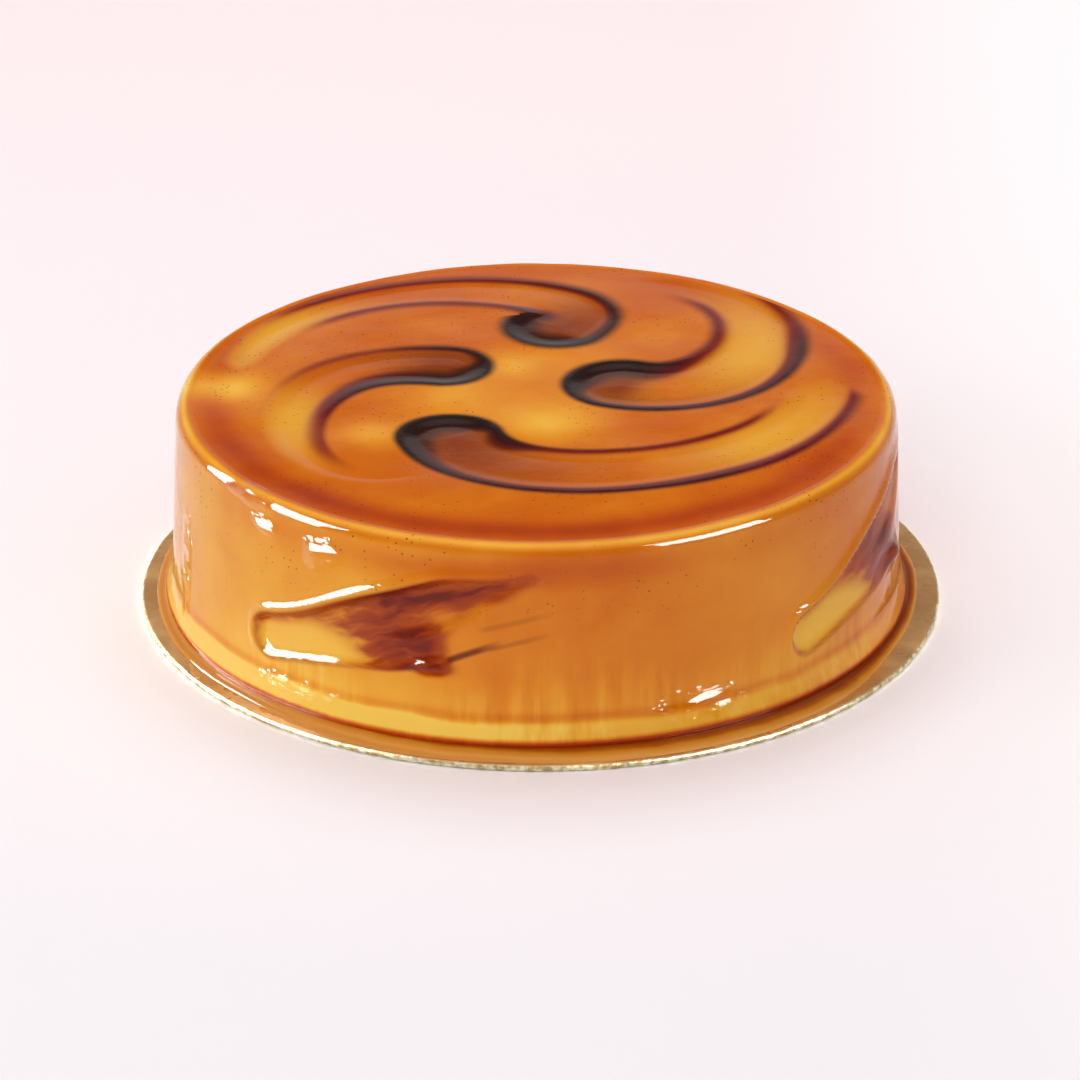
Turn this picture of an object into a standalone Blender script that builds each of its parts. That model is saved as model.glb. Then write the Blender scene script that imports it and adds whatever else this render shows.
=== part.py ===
"""A round cream cake under a caramel mirror glaze, on its gold foil card.

Metres, +Z up. The origin is the middle of the card's underside, and -Y is the side that faces the viewer.
Each piece is a turned profile. The cake's swirls and scooped side marks are then pressed into it.
"""

import math
from collections import namedtuple

import bpy
import numpy as np

MM = 0.001

# Card: a 9 inch round of board under gold foil.
CARD_RADIUS = 114.3 * MM
CARD_THICKNESS = 2.0 * MM
CARD_EDGE_ROUND = 0.8 * MM
CARD_CRIMP_DEPTH = 0.35 * MM

# Cake: an 8 inch sponge under 5 mm of cream and glaze, set down a little off the card's middle.
# Heights are above the floor, and radii are from the cake's own axis.
CAKE_CENTRE = (-1.2 * MM, 0.0, 0.0)
GAP = 0.3 * MM
CAKE_BASE_Z = CARD_THICKNESS + GAP
CAKE_TOP_Z = 60.6 * MM
WALL_TOP_RADIUS = 101.6 * MM
WALL_FOOT_RADIUS = 103.9 * MM
RIM_ROUND = 4.0 * MM
FOOT_RADIUS = 106.0 * MM
FOOT_BEAD = 1.4 * MM
FOOT_FILLET = 8.0 * MM
SHOULDER_DROP = 0.5 * MM
SHOULDER_RADIUS = 66.0 * MM

# The foot flares out in a hollow fillet that runs on into a round edge.
# The two arcs touch where they lean alike.
BEAD_CENTRE = (FOOT_RADIUS - FOOT_BEAD, CAKE_BASE_Z + FOOT_BEAD)
FOOT_REACH = WALL_FOOT_RADIUS + FOOT_FILLET - BEAD_CENTRE[0]
FOOT_RISE = math.sqrt((FOOT_BEAD + FOOT_FILLET) ** 2 - FOOT_REACH**2)
FILLET_CENTRE = (WALL_FOOT_RADIUS + FOOT_FILLET, BEAD_CENTRE[1] + FOOT_RISE)
FOOT_LEAN = math.degrees(math.atan2(FOOT_RISE, FOOT_REACH))

# Glaze that ran down and spread on the card.
POOL_INNER_RADIUS = FOOT_RADIUS + GAP
POOL_DEPTH = 0.8 * MM
POOL_WIDEST = 112.9 * MM
POOL_NARROWEST = 109.0 * MM

CAKE_TURN_STEPS = 360
CARD_TURN_STEPS = 120
POOL_TURN_STEPS = 90
RING_SPACING = 1.35 * MM
CAKE_TRIANGLES = 11400

# A swirl's middle line is a cubic curve from its round head to its tail, set by four control points in mm.
# Its halves are half its width at each end, and its taper is the power of the change between them.
# It is deepest round its head, on the side that faces deep_angle.
Swirl = namedtuple("Swirl", "controls head_half tail_half taper deep_angle")
SWIRLS = (
    Swirl(((-24, -29.5), (-13, -71), (79, -59.5), (84, 18)), 15.6 * MM, 9.8 * MM, 1.6, 125),
    Swirl(((24.5, 7), (66.5, -8.5), (91, 82), (19, 86)), 17.8 * MM, 5.3 * MM, 1.7, 105),
    Swirl(((6, 49.5), (33, 80.5), (-79, 104), (-87, 8.5)), 16.8 * MM, 5.5 * MM, 0.7, 215),
    Swirl(((-26.5, 20), (-91, 29), (-75, -98), (-13, -44)), 14.7 * MM, 1.0 * MM, 1.2, 280),
)
SWIRL_DEPTH = 0.4 * MM
SWIRL_EDGE_DEPTH = 0.25 * MM
SWIRL_HEAD_DEPTH = 0.8 * MM
SWIRL_HEAD_SHARE = 0.14
SWIRL_WALL = (2.0 * MM, 8.0 * MM)
SWIRL_MOAT = 5.5 * MM
SWIRL_COVER = (-2.0 * MM, 4.0 * MM)
SWIRL_FADE_SHARES = (0.7, 1.0)

# A side mark is two fingers that share a round end and blend where they part.
# Their ends are (arc length, height) from the mark's own start.
Finger = namedtuple("Finger", "start end start_half middle_half end_half")
MARK_FINGERS = (
    Finger((5.0 * MM, 21.0 * MM), (84.0 * MM, 51.2 * MM), 5.1 * MM, 7.8 * MM, 1.5 * MM),
    Finger((5.0 * MM, 21.0 * MM), (60.0 * MM, 27.4 * MM), 5.1 * MM, 4.3 * MM, 2.6 * MM),
)
FINGER_TAPER_SHARE = 0.68
FINGER_BLEND = 7.0 * MM
MARK_COUNT = 4
MARK_START_ANGLE = -137
MARK_DEPTH = 2.7 * MM
MARK_WALL = 2.4 * MM
MARK_FADE = 4.0 * MM
MARK_LIP = 0.3 * MM
MARK_UPPER_LIP = 1.0 * MM
MARK_LIP_WIDTH = 1.8 * MM
DROP_PLACE = (57.5 * MM, 24.6 * MM)
DROP_HALF_LENGTH = 5.5 * MM
DROP_HALF_HEIGHT = 2.8 * MM
DROP_BULGE = 1.9 * MM


def clear_scene():
    for old in list(bpy.data.objects):
        bpy.data.objects.remove(old, do_unlink=True)


def make_material(name, colour, roughness, metallic=0.0):
    material = bpy.data.materials.new(name)
    material.use_nodes = True
    shader = material.node_tree.nodes["Principled BSDF"]
    shader.inputs["Base Color"].default_value = (*colour, 1.0)
    shader.inputs["Roughness"].default_value = roughness
    shader.inputs["Metallic"].default_value = metallic
    return material


def smoothstep(low, high, value):
    share = np.clip((value - low) / (high - low), 0.0, 1.0)
    return share * share * (3.0 - 2.0 * share)


def bell(value, centre, width):
    """1 at the centre and about a third one width away."""
    return np.exp(-(((value - centre) / width) ** 2))


def arc(centre, radius, from_degrees, to_degrees, steps):
    """Points (radius, height) along an arc, both ends included."""
    angles = [math.radians(from_degrees + (to_degrees - from_degrees) * i / steps) for i in range(steps + 1)]
    return [(centre[0] + radius * math.cos(a), centre[1] + radius * math.sin(a)) for a in angles]


def line(start, end, spacing):
    """Points from start up to but not including end, about spacing apart."""
    steps = max(1, round(math.dist(start, end) / spacing))
    return [tuple(a + (b - a) * i / steps for a, b in zip(start, end)) for i in range(steps)]


def turned_object(name, profile, steps, closed=False):
    """A solid of revolution whose modifiers are applied, so that its points can be moved."""
    outline = bpy.data.meshes.new(name + "_profile")
    edges = [(i, i + 1) for i in range(len(profile) - 1)]
    if closed:
        edges.append((len(profile) - 1, 0))
    outline.from_pydata([(r, 0.0, z) for r, z in profile], edges, [])
    turned = bpy.data.objects.new(name + "_turned", outline)
    bpy.context.scene.collection.objects.link(turned)
    screw = turned.modifiers.new("Turn", "SCREW")
    screw.steps = steps
    screw.render_steps = steps
    screw.use_merge_vertices = True
    screw.merge_threshold = 0.00001
    graph = bpy.context.evaluated_depsgraph_get()
    mesh = bpy.data.meshes.new_from_object(turned.evaluated_get(graph))
    bpy.data.objects.remove(turned, do_unlink=True)
    mesh.name = name
    solid = bpy.data.objects.new(name, mesh)
    return solid


def points_of(mesh):
    flat = np.empty(len(mesh.vertices) * 3)
    mesh.vertices.foreach_get("co", flat)
    return flat.reshape(-1, 3)


def set_points(mesh, points):
    mesh.vertices.foreach_set("co", points.ravel())
    mesh.update()


def swirl_line(swirl):
    """Points along the swirl's middle line, and how far along it each is, from 0 at the head to 1."""
    along = np.linspace(0.0, 1.0, 160)
    back = 1.0 - along
    weights = np.stack([back**3, 3.0 * along * back**2, 3.0 * along**2 * back, along**3], axis=1)
    path = weights @ np.array(swirl.controls) * MM
    run = np.concatenate([[0.0], np.cumsum(np.linalg.norm(np.diff(path, axis=0), axis=1))])
    return path, run / run[-1]


def swirl_relief(swirl, places):
    """The swirl's height at each place, with a crowned floor, and how far the swirl covers what is under it."""
    path, along = swirl_line(swirl)
    squared = ((places[:, None, :] - path[None, :, :]) ** 2).sum(axis=2)
    nearest = squared.argmin(axis=1)
    share = along[nearest]
    distance = np.sqrt(squared.min(axis=1))
    offset = places - path[nearest]
    deep = math.radians(swirl.deep_angle)
    facing = (offset @ np.array([math.cos(deep), math.sin(deep)])) / np.maximum(distance, 0.1 * MM)
    inside = swirl.head_half + (swirl.tail_half - swirl.head_half) * share**swirl.taper - distance
    fade = 1.0 - smoothstep(*SWIRL_FADE_SHARES, share)
    head = np.exp(-share / SWIRL_HEAD_SHARE) * smoothstep(-0.3, 0.9, facing)
    edge_depth = SWIRL_EDGE_DEPTH + SWIRL_HEAD_DEPTH * head
    floor = SWIRL_DEPTH + edge_depth * np.exp(-np.clip(inside, 0.0, None) / SWIRL_MOAT)
    groove = floor * smoothstep(*SWIRL_WALL, inside)
    return -fade * groove, smoothstep(*SWIRL_COVER, inside) * fade


def top_relief(places):
    """Later swirls wipe out what they cross."""
    height = np.zeros(len(places))
    for swirl in SWIRLS:
        relief, cover = swirl_relief(swirl, places)
        height = height * (1.0 - cover) + relief
    return height


def finger_inside(finger, places):
    """How far inside a finger each place is."""
    start, end = np.array(finger.start), np.array(finger.end)
    span = end - start
    share = np.clip(((places - start) @ span) / (span @ span), 0.0, 1.0)
    distance = np.linalg.norm(places - start - share[:, None] * span, axis=1)
    half = finger.start_half + (finger.middle_half - finger.start_half) * smoothstep(0.0, 0.45, share)
    half += (finger.end_half - finger.middle_half) * smoothstep(FINGER_TAPER_SHARE, 1.0, share)
    return half - distance


def mark_inside(places):
    """How far inside the mark each place is, with the notch between its fingers filled softly."""
    upper, lower = [finger_inside(finger, places) for finger in MARK_FINGERS]
    near = np.clip(1.0 - np.abs(upper - lower) / FINGER_BLEND, 0.0, 1.0)
    return np.maximum(upper, lower) + 0.25 * FINGER_BLEND * near**2


def mark_relief(places):
    """How far one side mark pushes the wall out (+) or in (-) at each (arc length, height)."""
    along, height = places[:, 0], places[:, 1]
    inside = mark_inside(places)
    high = smoothstep(-12.0 * MM, 4.0 * MM, height - 0.32 * along - 24.0 * MM)
    scoop = MARK_DEPTH * (0.4 + 0.6 * high) * smoothstep(0.0, MARK_WALL, inside)
    lip = (MARK_LIP + MARK_UPPER_LIP * high) * bell(inside, -MARK_LIP_WIDTH, MARK_LIP_WIDTH)
    fade = 1.0 - 0.75 * smoothstep(45.0 * MM, 84.0 * MM, along)
    reach = np.hypot((along - DROP_PLACE[0]) / DROP_HALF_LENGTH, (height - DROP_PLACE[1]) / DROP_HALF_HEIGHT)
    return fade * (lip - scoop) + DROP_BULGE * bell(reach, 0.0, 1.0)


def side_relief(angle, height):
    """All the side marks, one to a quarter of the cake."""
    pitch = 2.0 * math.pi / MARK_COUNT
    start = math.radians(MARK_START_ANGLE)
    before = 0.15
    turned = np.mod(angle - start + before, pitch) - before
    return mark_relief(np.stack([turned * WALL_FOOT_RADIUS, height], axis=1))


def cake_profile():
    """Down the outside of the cake, from the middle of its top to the middle of its base."""
    rim_centre = (WALL_TOP_RADIUS - RIM_ROUND, CAKE_TOP_Z - RIM_ROUND)
    top_middle = (0.0, CAKE_TOP_Z)
    top_edge = (rim_centre[0], CAKE_TOP_Z)
    wall_top = (WALL_TOP_RADIUS, rim_centre[1])
    points = line(top_middle, top_edge, RING_SPACING)
    points += arc(rim_centre, RIM_ROUND, 90, 0, 6)[:-1]
    points += line(wall_top, (WALL_FOOT_RADIUS, FILLET_CENTRE[1]), RING_SPACING)
    points += arc(FILLET_CENTRE, FOOT_FILLET, 180, 180 + FOOT_LEAN, 4)
    points += arc(BEAD_CENTRE, FOOT_BEAD, FOOT_LEAN, -60, 5)[1:]
    points += [(points[-1][0], CAKE_BASE_Z), (0.0, CAKE_BASE_Z)]
    return points


def build_cake():
    """The cake and its glaze as one solid, with the swirls and side marks in its surface."""
    cake = turned_object("glazed_cake", cake_profile(), CAKE_TURN_STEPS)
    points = points_of(cake.data)
    radius = np.hypot(points[:, 0], points[:, 1])
    angle = np.arctan2(points[:, 1], points[:, 0])
    flat_radius = WALL_TOP_RADIUS - RIM_ROUND

    on_top = (points[:, 2] > CAKE_TOP_Z - 0.1 * MM) & (radius < flat_radius + 0.1 * MM)
    shoulder = smoothstep(SHOULDER_RADIUS, flat_radius, radius[on_top])
    points[on_top, 2] += top_relief(points[on_top, :2]) - SHOULDER_DROP * shoulder

    on_wall = (radius > WALL_TOP_RADIUS - 0.1 * MM) & (points[:, 2] > FILLET_CENTRE[1])
    push = side_relief(angle[on_wall], points[on_wall, 2])
    push *= 1.0 - smoothstep(CAKE_TOP_Z - RIM_ROUND - MARK_FADE, CAKE_TOP_Z - RIM_ROUND, points[on_wall, 2])
    push *= smoothstep(FILLET_CENTRE[1], FILLET_CENTRE[1] + MARK_FADE, points[on_wall, 2])
    points[on_wall, :2] *= (1.0 + push / radius[on_wall])[:, None]
    set_points(cake.data, points)

    thin = cake.modifiers.new("Fewer triangles", "DECIMATE")
    quads = sum(len(face.vertices) - 2 for face in cake.data.polygons)
    thin.ratio = CAKE_TRIANGLES / quads
    return cake


def pool_reach(angle):
    """The pool's outer radius: nearly to the card's edge in front and behind, and short of it at the sides."""
    front = 0.5 + 0.5 * np.cos(2.0 * (angle + math.pi / 2.0) - 0.35)
    ripple = 0.5 * np.sin(5.0 * angle + 1.0) + 0.35 * np.sin(9.0 * angle + 0.4) + 0.15 * np.sin(16.0 * angle)
    reach = POOL_NARROWEST + (POOL_WIDEST - POOL_NARROWEST) * smoothstep(0.25, 0.75, front)
    return np.minimum(reach + 0.5 * MM * ripple, POOL_WIDEST)


def build_pool():
    """A low ring of set glaze round the cake's foot, with a rounded, uneven outer edge."""
    outer = POOL_NARROWEST
    base = CARD_THICKNESS + GAP
    top = base + POOL_DEPTH
    profile = [
        (POOL_INNER_RADIUS, base),
        (POOL_INNER_RADIUS, top),
        (POOL_INNER_RADIUS + 0.35 * (outer - POOL_INNER_RADIUS), top - 0.25 * POOL_DEPTH),
        (outer - 0.6 * MM, base + 0.5 * POOL_DEPTH),
        (outer - 0.15 * MM, base + 0.28 * POOL_DEPTH),
        (outer, base),
    ]
    pool = turned_object("glaze_pool", profile, POOL_TURN_STEPS, closed=True)
    points = points_of(pool.data)
    radius = np.hypot(points[:, 0], points[:, 1])
    angle = np.arctan2(points[:, 1], points[:, 0])
    share = (radius - POOL_INNER_RADIUS) / (outer - POOL_INNER_RADIUS)
    wanted = POOL_INNER_RADIUS + share * (pool_reach(angle) - POOL_INNER_RADIUS)
    points[:, :2] *= (wanted / radius)[:, None]
    set_points(pool.data, points)
    return pool


def build_card():
    """The foil-wrapped card, with the foil's crimps round its edge."""
    half = CARD_THICKNESS / 2.0
    edge = [
        (CARD_RADIUS - CARD_EDGE_ROUND, CARD_THICKNESS),
        (CARD_RADIUS - 0.35 * CARD_EDGE_ROUND, CARD_THICKNESS - 0.3 * half),
        (CARD_RADIUS, half),
        (CARD_RADIUS - 0.35 * CARD_EDGE_ROUND, 0.3 * half),
        (CARD_RADIUS - CARD_EDGE_ROUND, 0.0),
    ]
    profile = [(0.0, CARD_THICKNESS), *edge, (0.0, 0.0)]
    card = turned_object("cake_card", profile, CARD_TURN_STEPS)
    points = points_of(card.data)
    radius = np.hypot(points[:, 0], points[:, 1])
    angle = np.arctan2(points[:, 1], points[:, 0])
    # Multiples of 4 put a crest, and so the full radius, on +X, +Y, -X and -Y alike.
    crimp = 0.25 * (2.0 - np.cos(28.0 * angle) - np.cos(44.0 * angle))
    at_edge = smoothstep(CARD_RADIUS - 1.5 * CARD_EDGE_ROUND, CARD_RADIUS, radius)
    points[:, :2] *= (1.0 - CARD_CRIMP_DEPTH * crimp * at_edge / np.maximum(radius, MM))[:, None]
    set_points(card.data, points)
    return card


def main():
    clear_scene()
    cake_set = bpy.data.collections.new("caramel_glazed_cake")
    bpy.context.scene.collection.children.link(cake_set)
    finishes = {
        "glazed_cake": make_material("caramel_glaze", (0.62, 0.20, 0.03), 0.12),
        "glaze_pool": make_material("caramel_pool", (0.55, 0.17, 0.03), 0.12),
        "cake_card": make_material("gold_foil", (0.55, 0.40, 0.18), 0.32, metallic=0.9),
    }
    card, pool, cake = build_card(), build_pool(), build_cake()
    pool.location = CAKE_CENTRE
    cake.location = CAKE_CENTRE
    for piece in (card, pool, cake):
        cake_set.objects.link(piece)
        piece.data.materials.clear()
        piece.data.materials.append(finishes[piece.name])
        piece.data.shade_smooth()
        piece.data.set_sharp_from_angle(angle=math.radians(50))


main()
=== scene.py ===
"""The looks of a caramel glazed cake on its foil card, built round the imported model.

Metres, +Z up, and -Y is the front. The cake, the pooled glaze and the card are each a detailed piece that
stands for its plain solid. Fields that vary over the cake, such as how deep inside a swirl a point is, are
stored on its points, and its material turns them into colour.
"""

import math
from collections import namedtuple

import bpy
import numpy as np
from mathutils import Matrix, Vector, noise


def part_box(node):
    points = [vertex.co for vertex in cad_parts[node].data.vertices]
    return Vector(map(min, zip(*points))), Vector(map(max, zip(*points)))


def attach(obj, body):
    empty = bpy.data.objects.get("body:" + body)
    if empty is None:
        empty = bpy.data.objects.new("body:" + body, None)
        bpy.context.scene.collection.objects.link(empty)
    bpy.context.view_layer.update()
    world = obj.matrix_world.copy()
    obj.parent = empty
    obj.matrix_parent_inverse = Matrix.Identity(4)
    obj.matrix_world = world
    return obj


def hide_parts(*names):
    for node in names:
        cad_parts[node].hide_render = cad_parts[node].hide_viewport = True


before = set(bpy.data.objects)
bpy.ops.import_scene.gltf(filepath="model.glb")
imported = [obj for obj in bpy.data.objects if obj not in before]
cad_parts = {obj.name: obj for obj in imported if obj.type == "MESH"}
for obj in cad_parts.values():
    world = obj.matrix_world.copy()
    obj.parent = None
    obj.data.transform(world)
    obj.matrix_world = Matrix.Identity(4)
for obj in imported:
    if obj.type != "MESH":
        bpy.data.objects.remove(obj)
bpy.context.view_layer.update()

MM = 0.001

# Places and sizes from the frame.
CARD_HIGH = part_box("cake_card")[1]
POOL_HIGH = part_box("glaze_pool")[1]
CAKE_LOW, CAKE_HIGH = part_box("glazed_cake")
CARD_RADIUS = CARD_HIGH.x
CARD_TOP_Z = CARD_HIGH.z
FOOT_RADIUS = 0.5 * (CAKE_HIGH.x - CAKE_LOW.x)
CAKE_CENTRE = (0.5 * (CAKE_LOW.x + CAKE_HIGH.x), 0.5 * (CAKE_LOW.y + CAKE_HIGH.y), 0.0)
CAKE_BASE_Z = CAKE_LOW.z
POOL_TOP_Z = POOL_HIGH.z

# Sizes that the frame's boxes don't give, as in the solids. Radii are from the cake's own axis.
CAKE_TOP_Z = 60.6 * MM
WALL_TOP_RADIUS = 101.6 * MM
WALL_FOOT_RADIUS = 103.9 * MM
RIM_ROUND = 4.0 * MM
FOOT_BEAD = 1.4 * MM
SHOULDER_DROP = 0.5 * MM
SHOULDER_RADIUS = 66.0 * MM
POOL_WIDEST = 113.2 * MM
POOL_NARROWEST = 109.0 * MM

# The foot flares out below this height, and ends in a round edge.
FOOT_TOP_Z = 10.6 * MM
FOOT_LEAN = 15
BEAD_CENTRE = (FOOT_RADIUS - FOOT_BEAD, CAKE_BASE_Z + FOOT_BEAD)

# A swirl's middle line is a cubic curve from its round head to its tail, set by four control points in mm.
# Its halves are half its width at each end, and its taper is the power of the change between them.
# It is deepest round its head, on the side that faces deep_angle.
Swirl = namedtuple("Swirl", "controls head_half tail_half taper deep_angle")
SWIRLS = (
    Swirl(((-24, -29.5), (-13, -71), (79, -59.5), (84, 18)), 15.6 * MM, 9.8 * MM, 1.6, 125),
    Swirl(((24.5, 7), (66.5, -8.5), (91, 82), (19, 86)), 17.8 * MM, 5.3 * MM, 1.7, 105),
    Swirl(((6, 49.5), (33, 80.5), (-79, 104), (-87, 8.5)), 16.8 * MM, 5.5 * MM, 0.7, 215),
    Swirl(((-26.5, 20), (-91, 29), (-75, -98), (-13, -44)), 14.7 * MM, 1.0 * MM, 1.2, 280),
)
SWIRL_DEPTH = 0.4 * MM
SWIRL_EDGE_DEPTH = 0.25 * MM
SWIRL_HEAD_DEPTH = 0.8 * MM
SWIRL_HEAD_SHARE = 0.14
SWIRL_WALL = (2.0 * MM, 8.0 * MM)
SWIRL_MOAT = 5.5 * MM
SWIRL_COVER = (-2.0 * MM, 4.0 * MM)
SWIRL_FADE_SHARES = (0.7, 1.0)
SWIRL_LINE_POINTS = 240

# Dark gel in each swirl. All but the widths and strengths are shares of the way from head to tail.
# It lies pooled on the head's deep side as far as pooled. A line runs down each edge, seen from the head:
# left and right are their strengths, and each has its width and its end. The right one is black as far as
# black_to, and widest there. The floor is yellow round glow_peak, and brown as far as brown_to.
Gel = namedtuple(
    "Gel",
    "pooled left left_width left_end black_to right right_width right_end "
    "glow_from glow_peak glow_end brown_to",
)
GELS = (
    Gel(0.10, 0.62, 3.6 * MM, 0.90, 0.52, 0.74, 5.2 * MM, 1.30, 0.36, 0.66, 1.05, 0.24),
    Gel(0.15, 0.62, 5.0 * MM, 0.90, 0.46, 0.56, 6.5 * MM, 0.85, 0.06, 0.36, 0.90, 0.05),
    Gel(0.11, 0.60, 4.4 * MM, 0.80, 0.15, 0.74, 5.0 * MM, 0.80, 0.45, 0.75, 1.10, 0.12),
    Gel(0.22, 0.44, 5.5 * MM, 0.80, 0.02, 0.46, 4.0 * MM, 0.42, 0.22, 0.42, 0.72, 0.10),
)
LINE_WIDTH = 4.0 * MM
HEAD_LINE_WIDTH = 6.5 * MM
POOLED_WIDTH = 12.5 * MM
HALO_WIDTH = 9.0 * MM

# Places on the top where the glaze is thin and yellow, or thick and deep where the strength is below 0:
# x and y in mm, and how far they reach.
Patch = namedtuple("Patch", "x y reach strength")
PATCHES = (
    Patch(4, -22, 12 * MM, 0.26),
    Patch(-7, 21, 10 * MM, 0.20),
    Patch(-46, -27, 10 * MM, 0.32),
    Patch(-89, 6, 11 * MM, 0.60),
    Patch(36, 48, 12 * MM, 0.12),
    Patch(-20, 2, 12 * MM, 0.12),
    Patch(30, -22, 12 * MM, -0.10),
)

# A side mark is two fingers that share a round end and blend where they part.
# Their ends are (arc length, height) from the mark's own start.
Finger = namedtuple("Finger", "start end start_half middle_half end_half")
UPPER_FINGER = Finger((5.0 * MM, 21.0 * MM), (84.0 * MM, 51.2 * MM), 5.1 * MM, 7.8 * MM, 1.5 * MM)
LOWER_FINGER = Finger((5.0 * MM, 21.0 * MM), (60.0 * MM, 27.4 * MM), 5.1 * MM, 4.3 * MM, 2.6 * MM)
FINGER_TAPER_SHARE = 0.68
FINGER_BLEND = 7.0 * MM
MARK_COUNT = 4
MARK_START_ANGLE = -137
MARK_HEADROOM = 0.15  # radians of wall before a mark's start that still belong to it
MARK_DEPTH = 2.7 * MM
MARK_WALL = 2.4 * MM
MARK_FADE = 4.0 * MM
MARK_LIP = 0.3 * MM
MARK_UPPER_LIP = 1.0 * MM
MARK_LIP_WIDTH = 1.6 * MM
DROP_PLACE = (57.5 * MM, 24.6 * MM)
DROP_HALF_LENGTH = 5.5 * MM
DROP_HALF_HEIGHT = 2.8 * MM
DROP_BULGE = 1.9 * MM

# Thin lines in a mark, from and to (arc length, height): the dark streak, and the creases that trail off
# the drop.
Stroke = namedtuple("Stroke", "start end half strength")
STREAK = Stroke((42.0 * MM, 39.0 * MM), (87.0 * MM, 52.0 * MM), 1.5 * MM, 0.42)
CREASES = (
    Stroke((60.5 * MM, 26.0 * MM), (78.0 * MM, 34.0 * MM), 0.95 * MM, 0.85),
    Stroke((72.0 * MM, 30.0 * MM), (92.0 * MM, 36.5 * MM), 0.70 * MM, 0.30),
    Stroke((70.0 * MM, 35.5 * MM), (94.0 * MM, 43.0 * MM), 0.80 * MM, 0.24),
)

# Places on the wall and rim where the glaze set in small lumps: degrees from the front, height, and half
# their extent.
Lumpy = namedtuple("Lumpy", "degrees height half_degrees half_height")
LUMPY_PLACES = (
    Lumpy(-34, 50.5 * MM, 3.6, 5.0 * MM),
    Lumpy(-46, 52.5 * MM, 3.0, 2.4 * MM),
    Lumpy(-50, 58.4 * MM, 5.0, 2.2 * MM),
    Lumpy(26, 10.8 * MM, 6.5, 4.2 * MM),
    Lumpy(-39, 9.0 * MM, 7.5, 1.8 * MM),
    Lumpy(-71, 24.0 * MM, 2.6, 14.0 * MM),
)

CAKE_TURN_STEPS = 560
POOL_TURN_STEPS = 720
CARD_TURN_STEPS = 900
RING_SPACING = 1.0 * MM
POOL_EDGE_SHARE = 0.3  # how much of the pool's width its rounded edge takes
OUTSIDE = -6.0  # an edge value far outside a swirl or mark


# ---------------------------------------------------------------- numbers and noise


def smoothstep(low, high, value):
    share = np.clip((value - low) / (high - low), 0.0, 1.0)
    return share * share * (3.0 - 2.0 * share)


def bell(value, centre, width):
    """1 at the centre and about a third one width away."""
    return np.exp(-(((value - centre) / width) ** 2))


def wander(points, wavelength, seed):
    """Smooth random values, about -1 to 1, that change over one wavelength."""
    places = points / wavelength + seed * 17.0
    return np.array([noise.noise(Vector(place)) for place in places])


def linear(red, green, blue):
    """An 8-bit sRGB colour as linear RGBA."""
    shares = [channel / 255.0 for channel in (red, green, blue)]
    return (*[s / 12.92 if s <= 0.04045 else ((s + 0.055) / 1.055) ** 2.4 for s in shares], 1.0)


def glazed(red, green, blue):
    """A glaze's own colour, given how it looks in 8-bit sRGB with the pale sheen that its gloss adds."""
    sheen = 0.02
    return (*[max(channel - sheen, 0.0) for channel in linear(red, green, blue)[:3]], 1.0)


# ---------------------------------------------------------------- swirls on top


def swirl_line(swirl):
    """Points along the swirl's middle line, and how far along it each is, from 0 at the head to 1."""
    along = np.linspace(0.0, 1.0, SWIRL_LINE_POINTS)
    back = 1.0 - along
    weights = np.stack([back**3, 3.0 * along * back**2, 3.0 * along**2 * back, along**3], axis=1)
    path = weights @ np.array(swirl.controls) * MM
    run = np.concatenate([[0.0], np.cumsum(np.linalg.norm(np.diff(path, axis=0), axis=1))])
    return path, run / run[-1]


def nearest_on(path, along, places):
    """Each place's offset from the path's nearest point, how much of that is leftward, and its share."""
    parts = np.array_split(places, 24)
    nearest = [((part[:, None] - path[None]) ** 2).sum(axis=2).argmin(axis=1) for part in parts]
    nearest = np.concatenate(nearest)
    steps = np.gradient(path, axis=0)
    lengths = np.linalg.norm(steps, axis=1)
    heading = (steps / lengths[:, None])[nearest]
    offset = places - path[nearest]
    reach = 0.5 * lengths[nearest]
    forward = np.clip((offset * heading).sum(axis=1), -reach, reach)
    share = np.clip(along[nearest] + forward / lengths[nearest] * np.gradient(along)[nearest], 0.0, 1.0)
    leftward = heading[:, 0] * offset[:, 1] - heading[:, 1] * offset[:, 0]
    between = (nearest > 0) & (nearest < len(path) - 1)
    return offset - np.where(between, forward, 0.0)[:, None] * heading, leftward, share


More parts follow.
